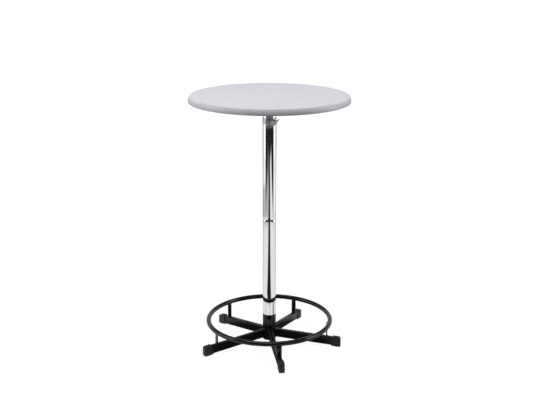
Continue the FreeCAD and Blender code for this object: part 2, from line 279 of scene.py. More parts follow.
# %% Floor
floor_half_side = 25.0
floor_gap = 0.3 * mm
glow_near, glow_far = 0.925, 0.99
glow_reach = (0.7, 3.0)
ground_shading = (0.17, 0.17, 0.17, 1)
ground_bounce = (0.3, 0.3, 0.3, 1)
sheet_white = (0.79, 0.795, 0.805, 1)
rear_sheet = (0.62, 0.62, 0.63, 1)
rear_sheet_fade = (0.1, 0.6)
studio_dark = (0.014, 0.014, 0.016, 1)
far_grey = (0.12, 0.12, 0.125, 1)
far_start, far_end = (4.98, 5.04), (9.5, 8.5)
wall_foot = (1.9, 2.3)


def floor_in_mirrors(across, back):
    """Colour of the floor as a mirror shows it, by the place on the floor."""
    along = maths("ABSOLUTE", back)
    forward = maths("MULTIPLY", back, -1.0)
    reach = distance(across, back)
    beyond = maths("MULTIPLY", off_sheet(across, along), dark_sector(across, along, back))
    dark = maths("MAXIMUM", beyond, runner(across, forward), shades(across, back, reach))
    far = maths("MULTIPLY", fade(reach, *far_start), fade(reach, *far_end))
    sheet = blended(fade(back, *rear_sheet_fade), sheet_white, rear_sheet)
    pale = blended(fade(maths("ABSOLUTE", across), *wall_foot), sheet, walls(back))
    return blended(dark, pale, blended(far, studio_dark, far_grey))


def floor_finish():
    """White ground that keeps a shadow, and shows mirrors the studio."""
    material = bpy.data.materials.new("studio_floor")
    material.use_nodes = True
    tree = material.node_tree
    tree.nodes.clear()
    rays = tree.nodes.new("ShaderNodeLightPath").outputs
    across, back = coordinates(tree, "ShaderNodeNewGeometry", "Position")[:2]
    ground_glow = fade(distance(across, back), *glow_reach, glow_near, glow_far)
    seen = tree.nodes.new("ShaderNodeAddShader")
    feed(seen.inputs[0], coloured(tree, "ShaderNodeEmission", ground_glow))
    feed(seen.inputs[1], coloured(tree, "ShaderNodeBsdfDiffuse", ground_shading))
    bounce = coloured(tree, "ShaderNodeBsdfDiffuse", ground_bounce)
    plain = mixed(rays["Is Camera Ray"], bounce, seen.outputs[0])
    mirrored = coloured(tree, "ShaderNodeEmission", floor_in_mirrors(across, back))
    ground = mixed(rays["Is Glossy Ray"], plain, mirrored)
    feed(tree.nodes.new("ShaderNodeOutputMaterial").inputs["Surface"], ground)
    return material


floor_mesh = bpy.data.meshes.new("studio_floor")
floor_shape = bmesh.new()
bmesh.ops.create_grid(floor_shape, x_segments=1, y_segments=1, size=floor_half_side)
bmesh.ops.translate(floor_shape, verts=floor_shape.verts, vec=(0, 0, cad_box[0].z - floor_gap))
floor_shape.to_mesh(floor_mesh)
floor_shape.free()
floor_mesh.materials.append(floor_finish())
floor = bpy.data.objects.new("studio_floor", floor_mesh)
scene.collection.objects.link(floor)
print("floor", 2 * floor_half_side, "m square")

# %% [markdown]
# Above the floor the world goes on in the same way: white side walls, a low end wall that is dark in front
# and grey behind, and a grey ceiling. That light comes from the sides, so the rim's ends are paler than its
# front. Heights in it are the Z of a direction, from 0 to 1. The camera sees white behind the table.

# %% World
side_wall_top, side_wall_blur = 0.42, 0.15
front_wall_top, rear_wall_top, end_wall_blur = 0.3, 0.48, 0.06
turn_to_backdrop = 0.05
backdrop_grey = (0.62, 0.62, 0.63, 1)
ceiling_grey = (0.18, 0.18, 0.187, 1)
plain_white = (1, 1, 1, 1)


def studio_walls(tree):
    """Colour of the studio's walls and ceiling, by direction."""
    across, back, up = coordinates(tree, "ShaderNodeTexCoord", "Generated")
    sector = dark_sector(across, maths("ABSOLUTE", back), back)
    above_side = soft_step(up, side_wall_top, side_wall_blur)
    sides = blended(above_side, walls(back), ceiling_grey)
    low_end = blended(soft_step(back, 0, turn_to_backdrop), studio_dark, backdrop_grey)
    end_top = soft_step(back, 0, turn_to_backdrop, front_wall_top, rear_wall_top)
    above_end = soft_step(maths("SUBTRACT", up, end_top), 0, end_wall_blur)
    return blended(sector, sides, blended(above_end, low_end, ceiling_grey))


world = bpy.data.worlds.new("studio")
world.use_nodes = True
scene.world = world
sky = world.node_tree
sky.nodes.clear()
sky_light = mixed(sky.nodes.new("ShaderNodeLightPath").outputs["Is Camera Ray"],
                  coloured(sky, "ShaderNodeBackground", studio_walls(sky)),
                  coloured(sky, "ShaderNodeBackground", plain_white))
feed(sky.nodes.new("ShaderNodeOutputWorld").inputs["Surface"], sky_light)
print("ceiling", ceiling_grey)

# %% [markdown]
# A softbox hangs over the table, a little to the front, so the flat top is bright, the front of the rim in
# shade and the base in the shade of the top. One stands at either side, above the rim, and lights its ends. A
# low weak strip at each side draws a light line on the foot ring, the clamp and the edges of the column.

# %% Lamps
overhead_size, side_size, strip_size = (2.2, 2.2), (1.0, 1.0), (0.35, 0.8)
overhead_power, left_power, right_power, strip_power = 49.5, 10.0, 12.5, 1.5
overhead = Vector((-0.25, -0.35, 3.4))
left_side, right_side = Vector((-2.3, -0.5, 1.75)), Vector((2.35, -0.2, 1.75))
left_strip, right_strip = Vector((-2.3, 0, 0.75)), Vector((2.3, 0, 0.75))
rim_middle = Vector((0, 0, 1.1))


def softbox(name, place, facing, size, power):
    """Flat lamp at a place, facing a point."""
    lamp = bpy.data.lights.new(name, "AREA")
    lamp.shape = "RECTANGLE"
    lamp.size, lamp.size_y = size
    lamp.energy = power
    box = bpy.data.objects.new(name, lamp)
    box.location = place
    box.rotation_euler = (facing - place).to_track_quat("-Z", "Y").to_euler()
    scene.collection.objects.link(box)
    print(name, size, "m,", power, "W")


softbox("overhead_softbox", overhead, rim_middle, overhead_size, overhead_power)
softbox("left_softbox", left_side, rim_middle, side_size, left_power)
softbox("right_softbox", right_side, rim_middle, side_size, right_power)
softbox("left_strip_lamp", left_strip, right_strip, strip_size, strip_power)
softbox("right_strip_lamp", right_strip, left_strip, strip_size, strip_power)

# %% [markdown]
# Finishes come next. Each reads Object coordinates, and as every piece sits at the origin, these are metres
# in the shared frame. A noise texture's scale is then its number of grains in a metre, so a real grain size
# is simply turned over. One helper starts a finish, and others spread a noise over a range of colours or
# gloss, or turn it to bumps. Most of a noise lies in the middle of its range, which is what gets spread.

# %% Helpers for finishes
noise_middle = (0.3, 0.7)


def new_finish(name, colour, roughness, metallic=0.0, shine=0.5):
    """Material with its constant values set, and its shader and object coordinates."""
    material = bpy.data.materials.new(name)
    material.use_nodes = True
    shader = material.node_tree.nodes["Principled BSDF"]
    shader.inputs["Base Color"].default_value = (*colour, 1)
    shader.inputs["Roughness"].default_value = roughness
    shader.inputs["Metallic"].default_value = metallic
    shader.inputs["Specular IOR Level"].default_value = shine
    return material, shader, beside(shader, "ShaderNodeTexCoord").outputs["Object"]


def grain(place, size, detail=2.0, stretch=(1, 1, 1)):
    """Noise with grains of a given size in metres, drawn out by stretch along each axis."""
    mapping = beside(place, "ShaderNodeMapping")
    mapping.inputs["Scale"].default_value = [1 / (size * along) for along in stretch]
    feed(mapping.inputs["Vector"], place)
    texture = beside(place, "ShaderNodeTexNoise")
    texture.inputs["Scale"].default_value = 1.0
    texture.inputs["Detail"].default_value = detail
    feed(texture.inputs["Vector"], mapping.outputs["Vector"])
    return texture.outputs["Fac"]


def shaded(shader, value, dark, light):
    """Base colour between two colours, by a noise."""
    colour = blended(fade(value, *noise_middle), (*dark, 1), (*light, 1))
    feed(shader.inputs["Base Color"], colour)


def gloss(shader, value, smooth, rough, spread=noise_middle):
    """Roughness between two values, by a noise."""
    feed(shader.inputs["Roughness"], fade(value, *spread, smooth, rough))


def bumpy(shader, value, depth):
    """Bumps of a given depth in metres, by a noise."""
    node = beside(value, "ShaderNodeBump")
    node.inputs["Strength"].default_value = 1.0
    node.inputs["Distance"].default_value = depth
    feed(node.inputs["Height"], value)
    feed(shader.inputs["Normal"], node.outputs["Normal"])


# %% [markdown]
# The top is pressed from resin-bound wood chips under a melamine skin. The skin is a cool light grey with a
# satin sheen. Seen close it has a fine pebble and a faint mottle, so the colour, gloss and surface all vary.


# %% Finish of the top
def melamine_skin():
    """Satin light grey with a fine pebble."""
    material, shader, place = new_finish("melamine_skin", (0.68, 0.69, 0.735), roughness=0.42, shine=0.4)
    mottle = grain(place, 60 * mm, detail=3.0)
    shaded(shader, mottle, dark=(0.665, 0.676, 0.726), light=(0.695, 0.704, 0.746))
    pebble = grain(place, 0.9 * mm)
    gloss(shader, pebble, smooth=0.36, rough=0.48, spread=(0.2, 0.8))
    bumpy(shader, pebble, depth=0.03 * mm)
    return material


print("finish", melamine_skin.__doc__)

# %% [markdown]
# Chrome plate over polished steel tube is almost a perfect mirror. The polishing belt ran round the tube and
# left faint waves along it, which bend the long reflections a little. Handling leaves soft smears on it.


# %% Finish of the column
def chrome_plate():
    """Bright mirror with slight polishing waves."""
    material, shader, place = new_finish("chrome_plate", (0.94, 0.945, 0.955), roughness=0.03, metallic=1.0)
    smear = grain(place, 50 * mm, detail=3.0, stretch=(1, 1, 3))
    gloss(shader, smear, smooth=0.02, rough=0.07, spread=(0.35, 0.75))
    waves = grain(place, 20 * mm, detail=1.0, stretch=(1, 1, 8))
    bumpy(shader, waves, depth=0.06 * mm)
    return material


print("finish", chrome_plate.__doc__)

# %% [markdown]
# The base is powder coated. The powder melts to a glossy skin with a slight orange peel, about two
# millimetres from hill to hill, and its gloss is a little uneven. Shoes rub the foot ring, so the same coat
# shines more there than on the legs and the hub.


# %% Finish of the base
def black_coat(name, shine):
    """Glossy black with orange peel."""
    material, shader, place = new_finish(name, (0.011, 0.011, 0.0114), roughness=0.08, shine=shine)
    cloud = grain(place, 50 * mm, detail=3.0)
    shaded(shader, cloud, dark=(0.009, 0.009, 0.0094), light=(0.013, 0.013, 0.0134))
    gloss(shader, cloud, smooth=0.05, rough=0.1)
    peel = grain(place, 2.2 * mm, detail=1.0)
    bumpy(shader, peel, depth=0.015 * mm)
    return material


print("finish", black_coat.__doc__)

# %% [markdown]
# The foot caps are moulded from polypropylene in a spark-eroded tool, which leaves a fine even grain and a
# duller, slightly paler black than the coat. The bush inside the column is natural nylon, milky and smoother.


# %% Finishes of the plastic parts
def plastic(name, colour, roughness, dark, light, cloud_size, grain_size, depth):
    """Moulded plastic with a faint cloud and a fine grain."""
    material, shader, place = new_finish(name, colour, roughness)
    shaded(shader, grain(place, cloud_size), dark, light)
    fine = grain(place, grain_size)
    bumpy(shader, fine, depth)
    return material, shader, fine


def cap_moulding():
    """Dull black plastic with a fine grain."""
    material, shader, eroded = plastic(
        "cap_moulding", (0.016, 0.016, 0.017), roughness=0.5, dark=(0.013, 0.013, 0.014),
        light=(0.019, 0.019, 0.02), cloud_size=20 * mm, grain_size=0.7 * mm, depth=0.06 * mm)
    gloss(shader, eroded, smooth=0.45, rough=0.62)
    return material


def nylon():
    """Natural nylon, milky and slightly glossy."""
    return plastic("nylon", (0.62, 0.61, 0.56), roughness=0.4, dark=(0.58, 0.57, 0.52),
                   light=(0.66, 0.65, 0.61), cloud_size=8 * mm, grain_size=0.6 * mm, depth=0.02 * mm)[0]


print("finishes", cap_moulding.__doc__, nylon.__doc__)

# %% [markdown]
# The small metal parts differ in how they were made: zinc plate has a faint cloud, die casting a soft skin,
# bare turned steel fine rings along its axis, and brass a warm dull cut. One function gives all four, from
# their colours, gloss and grain.


# %% Finishes of the small parts
def small_metal(name, dark, light, roughness, grain_size, stretch=(1, 1, 1), metallic=1.0):
    """Bare or plated metal, clouded between two colours."""
    material, shader, place = new_finish(name, light, roughness, metallic)
    shaded(shader, grain(place, 12 * mm), dark, light)
    fine = grain(place, grain_size, stretch=stretch)
    gloss(shader, fine, smooth=roughness * 0.8, rough=roughness * 1.25)
    bumpy(shader, fine, depth=0.01 * mm)
    return material


finishes = {
    "top_board": melamine_skin(),
    "chrome": chrome_plate(),
    "black_powder_coat": black_coat("black_coat", shine=0.3),
    "rubbed_coat": black_coat("rubbed_coat", shine=0.45),
    "cap_plastic": cap_moulding(),
    "zinc": small_metal("zinc_plate", dark=(0.8, 0.81, 0.82), light=(0.92, 0.93, 0.94), roughness=0.42,
                        grain_size=0.5 * mm, metallic=0.3),
    "clamp_grey": small_metal("die_casting", dark=(0.64, 0.65, 0.66), light=(0.74, 0.75, 0.76),
                              roughness=0.32, grain_size=0.8 * mm, metallic=0.65),
    "plain_steel": small_metal("turned_steel", dark=(0.42, 0.42, 0.42), light=(0.52, 0.52, 0.52),
                               roughness=0.28, grain_size=0.4 * mm, stretch=(20, 20, 1)),
    "bush_plastic": nylon(),
    "pad_brass": small_metal("brass", dark=(0.55, 0.41, 0.18), light=(0.72, 0.56, 0.28), roughness=0.35,
                             grain_size=0.5 * mm),
}
print("finishes", sorted(finishes))

# %% [markdown]
# Most of the table is turned work, so one helper spins an outline of (radius, height) points about the
# column's axis. Round stretches of an outline are arcs, worked out by another. A third makes the finished
# bmesh a piece: it clears the slivers that bevels leave, shades it smooth apart from real corners, gives it
# its finish and puts it on its body.

# %% Helpers for pieces
sliver = 0.002 * mm
same_place = 0.001 * mm


def arc(centre, radius, start, end, steps=8):
    """Points of an arc about a (radius, height) centre, in degrees from outwards to upwards."""
    turns = [math.radians(start + (end - start) * k / steps) for k in range(steps + 1)]
    return [(centre[0] + radius * math.cos(turn), centre[1] + radius * math.sin(turn)) for turn in turns]


def swung(bm, steps):
    """Spins a whole bmesh once round the column's axis."""
    bmesh.ops.spin(bm, geom=bm.verts[:] + bm.edges[:], axis=(0, 0, 1), cent=(0, 0, 0), angle=2 * math.pi,
                   steps=steps, use_merge=True)
    bmesh.ops.remove_doubles(bm, verts=bm.verts, dist=same_place)
    return bm


def spun(outline, steps=128):
    """Closed outline spun about the column's axis."""
    bm = bmesh.new()
    points = [bm.verts.new((radius, 0, height)) for radius, height in outline]
    for pair in zip(points, points[1:] + points[:1]):
        bm.edges.new(pair)
    return swung(bm, steps)


def add(bm, *others):
    """Joins other bmeshes to the first, and frees them."""
    for other in others:
        mesh = bpy.data.meshes.new("joined")
        other.to_mesh(mesh)
        other.free()
        bm.from_mesh(mesh)
        bpy.data.meshes.remove(mesh)
    return bm


def turned_to(bm, matrix):
    """Moves a whole bmesh by a matrix."""
    bmesh.ops.transform(bm, matrix=matrix, verts=bm.verts)
    return bm


def capped(bm):
    """Fills the open ends of a bmesh."""
    bmesh.ops.holes_fill(bm, edges=[edge for edge in bm.edges if edge.is_boundary], sides=0)
    return bm


def piece(name, bm, slot, body, *nodes, sharp=32, finish=None):
    """Makes a bmesh a piece with its slot's finish or another, riding on a body in place of CAD nodes."""
    bmesh.ops.dissolve_degenerate(bm, dist=sliver, edges=bm.edges)
    bmesh.ops.recalc_face_normals(bm, faces=bm.faces)
    mesh = bpy.data.meshes.new(name)
    bm.to_mesh(mesh)
    bm.free()
    mesh.shade_smooth()
    mesh.set_sharp_from_angle(angle=math.radians(sharp))
    mesh.materials.append(finishes[finish or slot])
    made = bpy.data.objects.new(name, mesh)
    scene.collection.objects.link(made)
    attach(made, body)
    if nodes:
        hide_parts(*nodes)
    print(name, len(mesh.polygons), "faces")
    return made


# %% [markdown]
# The top is flat above. Its rim rounds over a small shoulder, swells down a long brow to the widest line,
# tucks under on another small round and leaves a hollow underside. Spinning that one outline gives the whole
# moulding. The brow's radius isn't free: it is the one that touches the shoulder's round and stands plumb at
# the widest line, so it is worked out.

# %% Table top
top_low, top_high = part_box("table_top")
top_radius = top_high.x
table_height = top_high.z
shoulder_radius = 2 * mm
brow_run = 6.5 * mm
rim_tuck = 3 * mm
rim_width = 32 * mm
board_thickness = 18 * mm
flat_rings = 5

shoulder = (top_radius - shoulder_radius - brow_run, table_height - shoulder_radius)
widest = top_low.z + rim_tuck
brow_rise = shoulder[1] - widest
brow_inset = top_radius - shoulder[0]
brow_radius = (brow_inset ** 2 + brow_rise ** 2 - shoulder_radius ** 2) / (2 * brow_run)
brow = (top_radius - brow_radius, widest)
brow_meet = math.degrees(math.atan2(brow_rise, shoulder[0] - brow[0]))
board_under = table_height - board_thickness
cove = board_under - top_low.z
rim_inner = top_radius - rim_width

top_outline = [(shoulder[0] * k / flat_rings, table_height) for k in range(flat_rings)]
top_outline += arc(shoulder, shoulder_radius, 90, brow_meet)
top_outline += arc(brow, brow_radius, brow_meet, 0)[1:]
top_outline += arc((top_radius - rim_tuck, widest), rim_tuck, 0, -90)[1:]
top_outline += arc((rim_inner - cove, top_low.z), cove, 0, 90, 6)
top_outline += [((rim_inner - cove) * k / flat_rings, board_under) for k in range(flat_rings - 1, -1, -1)]
piece("moulded_top", spun(top_outline, steps=256), "top_board", "top", "table_top")

# %% [markdown]
# The column is two lengths of tube. Where they meet, each end is drawn in to a shallow nose, so the seam is a
# small groove that catches a bright and a dark line. The nose is an arc that starts plumb with the tube.

# %% Column tubes
column_low, column_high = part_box("upper_column_tube")
lower_low, lower_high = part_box("lower_column_tube")
column_radius = column_high.x
column_wall = 1.5 * mm
column_bore = column_radius - column_wall
nose_height = 10 * mm
nose_depth = 1.1 * mm
edge_break = 0.3 * mm
mirror_steps = 160


def nosed_tube(plain_end, nosed_end):
    """Column tube from its plain end to its drawn-in end."""
    inwards = math.copysign(1, plain_end - nosed_end)
    radius = (nose_depth ** 2 + nose_height ** 2) / (2 * nose_depth)
    sweep = math.degrees(math.asin(nose_height / radius))
    start = nosed_end + inwards * nose_height
    outline = [(column_bore, plain_end), (column_radius - edge_break, plain_end),
               (column_radius, plain_end - inwards * edge_break)]
    outline += arc((column_radius - radius, start), radius, 0, -inwards * sweep, 10)
    return spun(outline + [(column_bore, nosed_end)], mirror_steps)


upper_tube = nosed_tube(column_high.z, column_low.z)
lower_tube = nosed_tube(lower_low.z, lower_high.z)
piece("upper_chrome_tube", upper_tube, "chrome", "upper_column", "upper_column_tube")
piece("lower_chrome_tube", lower_tube, "chrome", "base", "lower_column_tube")

# %% [markdown]
# Inside the seam sits the coupling: a turned sleeve with a thin flange that parts the tubes. It shows when
# the upper column is lifted off, so it gets chamfered ends. The stub tube under the top is plain, with a
# chamfer where it enters the column.

# %% Coupling and stub tube
coupling_low, coupling_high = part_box("coupling_spigot")
stub_low, stub_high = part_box("stub_tube")
fit = 0.05 * mm
flange_radius = coupling_high.x
sleeve_radius = column_bore - fit
sleeve_wall = 3 * mm
sleeve_bore = sleeve_radius - sleeve_wall
sleeve_lead = 2 * mm
stub_radius = stub_high.x
stub_wall = 2 * mm
stub_bore = stub_radius - stub_wall
stub_chamfer = 1 * mm

coupling_outline = [
    (sleeve_bore, coupling_low.z), (sleeve_radius - sleeve_lead, coupling_low.z),
    (sleeve_radius, coupling_low.z + sleeve_lead), (sleeve_radius, lower_high.z),
    (flange_radius, lower_high.z), (flange_radius, column_low.z), (sleeve_radius, column_low.z),
    (sleeve_radius, coupling_high.z - sleeve_lead), (sleeve_radius - sleeve_lead, coupling_high.z),
    (sleeve_bore, coupling_high.z),
]
stub_outline = [
    (stub_bore, stub_low.z), (stub_radius - stub_chamfer, stub_low.z),
    (stub_radius, stub_low.z + stub_chamfer), (stub_radius, stub_high.z), (stub_bore, stub_high.z),
]
piece("seam_coupling", spun(coupling_outline), "plain_steel", "base", "coupling_spigot")
piece("stub_chrome_tube", spun(stub_outline, mirror_steps), "chrome", "top", "stub_tube")

# %% [markdown]
# The clamp head is a die-cast collar, a little proud of the column, with a boss for the wing screw. The
# collar is spun about the column and the boss about the screw's axis, which the frame's joint gives. The boss
# flares out where it runs into the collar, as a casting does.

# %% Clamp head
head_low, head_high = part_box("clamp_head")
screw_joint = next(joint for joint in frame["joints"] if joint["name"] == "wing_screw_turn")
screw_axis = Vector(screw_joint["axis"]).normalized()
screw_side = screw_axis.cross((0, 0, 1)).normalized()
screw_turn = Matrix((screw_side, screw_axis.cross(screw_side), screw_axis)).transposed()
screw_frame = Matrix.Translation(screw_joint["pos_m"]) @ screw_turn.to_4x4()
head_bottom = column_high.z
head_clearance = 0.3 * mm
head_bore = stub_radius + head_clearance
head_spigot = column_bore - fit
head_round = 2 * mm
head_proud = 0.8 * mm
head_radius = column_radius + head_proud
boss_radius = 9 * mm
boss_length = 10 * mm
boss_sink = 1.6 * mm
boss_chamfer = 1 * mm
boss_flare, flare_start = 2.4 * mm, 1.2 * mm
screw_hole = 4.05 * mm
hole_chamfer = 0.6 * mm
boss_face = column_radius + boss_length
boss_root = column_radius - boss_sink

collar_outline = [
    (head_bore, head_low.z), (head_spigot, head_low.z), (head_spigot, head_bottom),
    *arc((column_radius, head_bottom + head_proud), head_proud, -90, 0, 4),
    *arc((head_radius - head_round, head_high.z - head_round), head_round, 0, 90, 6),
    (head_bore, head_high.z),
]
boss_outline = [
    (screw_hole, boss_root), (boss_radius + boss_flare, boss_root),
    *arc((boss_radius + boss_flare, column_radius + flare_start), boss_flare, 270, 180, 5),
    (boss_radius, boss_face - boss_chamfer), (boss_radius - boss_chamfer, boss_face),
    (screw_hole + hole_chamfer, boss_face), (screw_hole, boss_face - hole_chamfer),
]
clamp = add(spun(collar_outline, mirror_steps), turned_to(spun(boss_outline, steps=64), screw_frame))
piece("clamp_casting", clamp, "clamp_grey", "upper_column", "clamp_head")

# %% [markdown]
# The wing screw has a real thread: a three-point tooth spun with a step along the axis, so that each turn
# meets the next. The hub that carries its wings is turned.

# %% Wing screw
thread_pitch = 1.25 * mm
thread_radius = 4 * mm
thread_root = 3.35 * mm
thread_start = column_radius + 0.3 * mm
thread_steps = 32
thread_join = 0.005 * mm
wing_gap = 3 * mm
hub_start = boss_face + wing_gap
hub_length = 11 * mm
hub_base_radius = 7.5 * mm
hub_tip_radius = 5.5 * mm
hub_round = 1.2 * mm


def screw_thread():
    """Threaded shank along +Z from behind the boss to the wings' hub."""
    turns = math.ceil((hub_start - thread_start) / thread_pitch)
    start = hub_start - turns * thread_pitch
    outline = ((thread_root, 0), (thread_radius, 0.5), (thread_root, 1))
    bm = bmesh.new()
    tooth = [bm.verts.new((radius, 0, start + share * thread_pitch)) for radius, share in outline]
    sides = [bm.edges.new(pair) for pair in zip(tooth, tooth[1:])]
    bmesh.ops.spin(bm, geom=tooth + sides, axis=(0, 0, 1), cent=(0, 0, 0), angle=2 * math.pi * turns,
                   steps=thread_steps * turns, dvec=(0, 0, thread_pitch / thread_steps))
    bmesh.ops.remove_doubles(bm, verts=bm.verts, dist=thread_join)
    return capped(bm)


def screw_hub():
    """Tapered hub that carries the wings."""
    end = hub_start + hub_length
    outline = [(0, hub_start), (hub_base_radius - hub_round, hub_start)]
    outline += arc((hub_base_radius - hub_round, hub_start + hub_round), hub_round, -90, 0, 4)
    outline += arc((hub_tip_radius - hub_round, end - hub_round), hub_round, 0, 90, 4)
    return spun(outline + [(0, end)], steps=64)


shank = add(screw_thread(), screw_hub())
piece("wing_screw_shank", turned_to(shank, screw_frame), "zinc", "wing_screw", "wing_screw")
print("thread", thread_pitch / mm, "mm pitch")

# %% [markdown]
# Each wing grows from the hub as a thick bar. One face is extruded in steps, and at each it is widened and
# swept outwards. A subdivision surface then rounds the whole wing.

# %% Wings
# Millimetres: out from the axis, along it from the hub's middle, half width, half thickness
wing_steps = (
    (2.0, 0.0, 3.6, 2.2),
    (6.5, 1.6, 3.4, 1.9),
    (10.5, 4.2, 4.6, 1.7),
    (15.0, 6.6, 5.0, 1.7),
    (18.2, 7.8, 3.8, 1.5),
)
wing_tilt = math.radians(-45)
wing_levels = 3


def wing(turn):
    """One wing, as a bar extruded from the hub in steps."""
    middle = hub_start + hub_length / 2
    places = [Vector((out * mm, 0, middle + along * mm)) for out, along, width, thickness in wing_steps]
    halves = [(width * mm, thickness * mm) for out, along, width, thickness in wing_steps]
    width, thickness = halves[0]
    bm = bmesh.new()
    bmesh.ops.create_grid(bm, x_segments=1, y_segments=1, size=1)
    upright = Matrix(((0, 0, 1), (0, thickness, 0), (width, 0, 0))).to_4x4()
    turned_to(bm, Matrix.Translation(places[0]) @ upright)
    last = bm.faces[:]
    for k in range(1, len(wing_steps)):
        last = bmesh.ops.extrude_discrete_faces(bm, faces=last)["faces"]
        corners = last[0].verts[:]
        (was_width, was_thickness), (width, thickness) = halves[k - 1:k + 1]
        bmesh.ops.scale(bm, verts=corners, vec=(1, thickness / was_thickness, width / was_width),
                        space=Matrix.Translation(-places[k - 1]))
        bmesh.ops.translate(bm, verts=corners, vec=places[k] - places[k - 1])
    return capped(turned_to(bm, Matrix.Rotation(turn, 4, "Z")))


wings = add(wing(wing_tilt + math.pi / 2), wing(wing_tilt - math.pi / 2))
wing_pair = piece("wing_screw_wings", turned_to(wings, screw_frame), "zinc", "wing_screw", sharp=80)
wing_round = wing_pair.modifiers.new("rounded", "SUBSURF")
wing_round.levels = wing_levels
wing_round.render_levels = wing_levels

# %% [markdown]
# Under the top a cast spider spreads the load: four flat arms with rounded ends, a tapering rib under each
# and a collar for the stub tube. An arm starts as a circle whose outer half is moved out to the arm's end.
# One arm with its rib is made and spun round in copies.

# %% Spider
spider_low, spider_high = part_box("top_spider")
arm_half_width = 23 * mm
arm_plate = 5 * mm
arm_round = 1.2 * mm
rib_half_width = 3 * mm
rib_reach = 112 * mm
rib_tip = 4 * mm
collar_wall = 5 * mm
collar_clearance = 0.2 * mm
arms = 4
level = 0.01 * mm
arm_middle = spider_high.x - arm_half_width
arm_under = board_under - arm_plate
collar_bore = stub_radius + collar_clearance
collar_radius = collar_bore + collar_wall


def soften(bm, edges, radius, segments=3):
    """Rounds some edges of a bmesh."""
    bmesh.ops.bevel(bm, geom=edges, offset=radius, offset_type="OFFSET", affect="EDGES", segments=segments,
                    profile=0.5, material=-1, clamp_overlap=True)


def raised(bm, faces, direction):
    """Extrudes faces along a vector."""
    grown = bmesh.ops.extrude_face_region(bm, geom=faces)
    moved = [item for item in grown["geom"] if isinstance(item, bmesh.types.BMVert)]
    bmesh.ops.translate(bm, verts=moved, vec=direction)


def slab(outline, half_width):
    """Thick plate from a side view of (distance, height) points, across the XZ plane."""
    bm = bmesh.new()
    side = bm.faces.new([bm.verts.new((out, -half_width, height)) for out, height in outline])
    raised(bm, [side], (0, 2 * half_width, 0))
    return bm


def edges_below(bm, height):
    """Edges of a bmesh that lie wholly below a height."""
    return [edge for edge in bm.edges if all(vert.co.z < height for vert in edge.verts)]


def spider_arm():
    """Flat arm along +X with a rounded end."""
    bm = bmesh.new()
    bmesh.ops.create_circle(bm, cap_ends=True, radius=arm_half_width, segments=48)
    outer = [vert for vert in bm.verts if vert.co.x > -level]
    bmesh.ops.translate(bm, verts=outer, vec=(arm_middle, 0, 0))
    bmesh.ops.translate(bm, verts=bm.verts, vec=(0, 0, arm_under))
    raised(bm, bm.faces[:], (0, 0, arm_plate))
    soften(bm, edges_below(bm, arm_under + level), arm_round)
    return bm


def spider_rib():
    """Rib under an arm, deep at the collar, where it ends above the rounded edge, and shallow at its tip."""
    root, root_low = stub_radius + collar_wall / 2, spider_low.z + arm_round
    in_arm = arm_under + arm_round
    bm = slab(((root, root_low), (stub_radius + collar_wall, root_low), (rib_reach, arm_under - rib_tip),
               (rib_reach, in_arm), (root, in_arm)), rib_half_width)
    soften(bm, [edge for edge in bm.edges if edge.calc_length() > 2 * rib_half_width + level], arm_round)
    return bm


limb = add(spider_arm(), spider_rib())
bmesh.ops.spin(limb, geom=limb.verts[:] + limb.edges[:] + limb.faces[:], axis=(0, 0, 1), cent=(0, 0, 0),
               angle=2 * math.pi * (arms - 1) / arms, steps=arms - 1, use_duplicate=True)
spider_collar = spun([
    (0, arm_under), (collar_bore, arm_under), (collar_bore, spider_low.z),
    *arc((collar_radius - arm_round, spider_low.z + arm_round), arm_round, -90, 0, 4),
    (collar_radius, board_under), (0, board_under),
], steps=96)
piece("cast_spider", add(limb, spider_collar), "black_powder_coat", "top", "top_spider")

# %% [markdown]
# Eight pan-head screws hold the top. A head starts as a square grid pulled to a disc. The cells of a cross in
# its middle are sunk for the driver, the border is drawn up to the seat, and the face is domed.

# %% Top screws
screw_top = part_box("top_screws")[1].z
head_half = 5 * mm
head_height = 3 * mm
dome_height = 1.35 * mm
dome_power = 4
recess_depth = 1.8 * mm
recess_half_width, recess_reach = 0.105, 0.62
screw_spread = 12 * mm
screw_shank = 2.5 * mm
screw_point = 1.5 * mm
grid_cells = 10


def in_cross(face):
    """Whether a cell of the grid lies in the driver's cross."""
    middle = face.calc_center_median()
    return min(abs(middle.x), abs(middle.y)) < recess_half_width and middle.length < recess_reach


def pan_head():
    """Screw head with a cross recess, domed downwards below z = 0."""
    bm = bmesh.new()
    bmesh.ops.create_grid(bm, x_segments=grid_cells, y_segments=grid_cells, size=1)
    cross = [face for face in bm.faces if in_cross(face)]
    rim = [edge for edge in bm.edges if edge.is_boundary]
    for vert in bm.verts:
        x, y = vert.co.xy
        vert.co.x = x * math.sqrt(1 - y * y / 2) * head_half
        vert.co.y = y * math.sqrt(1 - x * x / 2) * head_half
        vert.co.z = -head_height + dome_height * (vert.co.xy.length / head_half) ** dome_power
    raised(bm, cross, (0, 0, recess_depth))
    bmesh.ops.delete(bm, geom=cross, context="FACES")
    drawn = bmesh.ops.extrude_edge_only(bm, edges=[edge for edge in rim if edge.is_valid])
    for item in drawn["geom"]:
        if isinstance(item, bmesh.types.BMVert):
            item.co.z = 0
    return capped(bm)


def top_screw(place):
    """One screw, its head against the spider's underside."""
    length = screw_top - arm_under
    shank = bmesh.new()
    bmesh.ops.create_cone(shank, cap_ends=True, segments=16, radius1=screw_shank, radius2=screw_point,
                          depth=length)
    bmesh.ops.translate(shank, verts=shank.verts, vec=(0, 0, length / 2))
    return turned_to(add(pan_head(), shank), Matrix.Translation(place))


fixings = bmesh.new()
for k in range(arms):
    for side in (-screw_spread, screw_spread):
        spot = Matrix.Rotation(2 * math.pi * k / arms, 3, "Z") @ Vector((arm_middle, side, arm_under))
        add(fixings, top_screw(spot))
piece("pan_head_screws", fixings, "zinc", "top", "top_screws")

